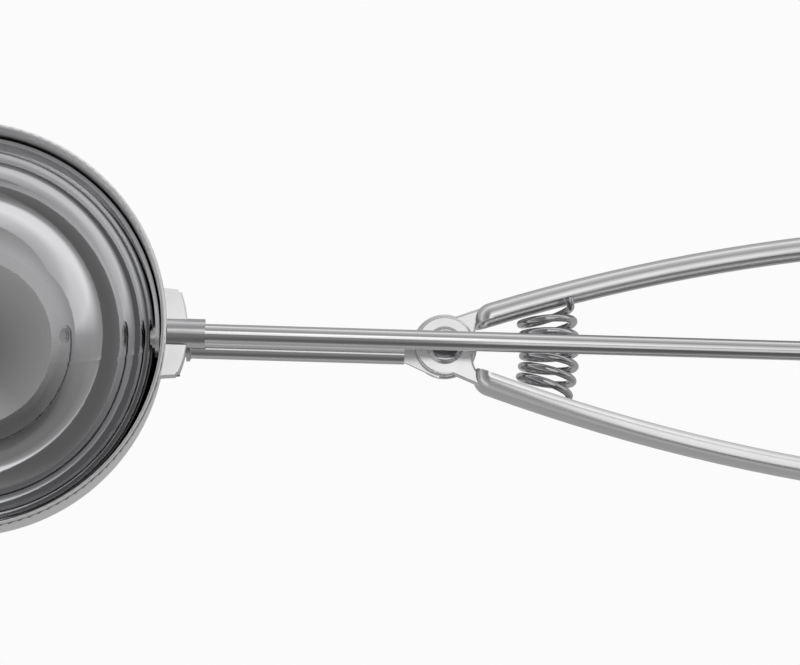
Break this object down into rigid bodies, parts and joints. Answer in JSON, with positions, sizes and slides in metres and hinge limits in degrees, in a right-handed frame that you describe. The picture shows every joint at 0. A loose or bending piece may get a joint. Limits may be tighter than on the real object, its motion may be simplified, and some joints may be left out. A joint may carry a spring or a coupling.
{
  "type": "lever ice cream scoop",
  "caption": "Ice cream scoop with a round bowl, a sweeper band inside it, a straight spine rod and sprung bow handles that turn the band through a rack and pinion.",
  "frame": {"origin": "centre of the bowl's mouth, on the plane of its rim", "axes": "+X along the spine rod from the bowl to the handles, +Z out of the bowl's mouth, +Y towards the moving handle"},
  "size_m": [0.2651, 0.0844, 0.0527],
  "materials": {
    "polished_steel": "polished",
    "handle_steel": "polished",
    "rod_steel": "satin",
    "satin_steel": "satin",
    "gear_steel": "satin",
    "brushed_band": "brushed",
    "spring_wire": "drawn wire"
  },
  "bodies": {
    "frame": {"bowl": "polished_steel", "axle_bush": "satin_steel", "far_bush": "satin_steel", "rod_collar": "satin_steel", "gear_hood": "polished_steel", "lower_handle": "handle_steel", "spine_rod": "rod_steel", "pivot_rivet": "polished_steel", "pivot_washer": "satin_steel", "coil_spring": "spring_wire"},
    "lever": {"upper_handle": "handle_steel", "rack_sector": "gear_steel", "lever_arm": "rod_steel"},
    "sweeper": {"sweeper_band": "brushed_band", "hub_washer": "satin_steel", "far_hub_washer": "satin_steel", "sweeper_axle": "satin_steel", "far_pin": "satin_steel", "pinion": "gear_steel", "axle_ring": "satin_steel"}
  },
  "joints": [
    {"name": "lever_hinge", "type": "hinge", "parent": "frame", "child": "lever", "pos_m": [0.0991, 0, -0.0109], "axis": [0, 0, -1], "range_deg": [0, 7.61], "stiffness_Nm_per_rad": 4, "springref_deg": -6.88, "deforming": ["coil_spring"]},
    {"name": "sweeper_turn", "type": "hinge", "parent": "frame", "child": "sweeper", "pos_m": [0, 0, -0.01089], "axis": [-1, 0, 0], "range_deg": [0, 176]}
  ],
  "couplings": [
    {"joint": "sweeper_turn", "follows": "lever_hinge", "ratio": 23.104}
  ]
}
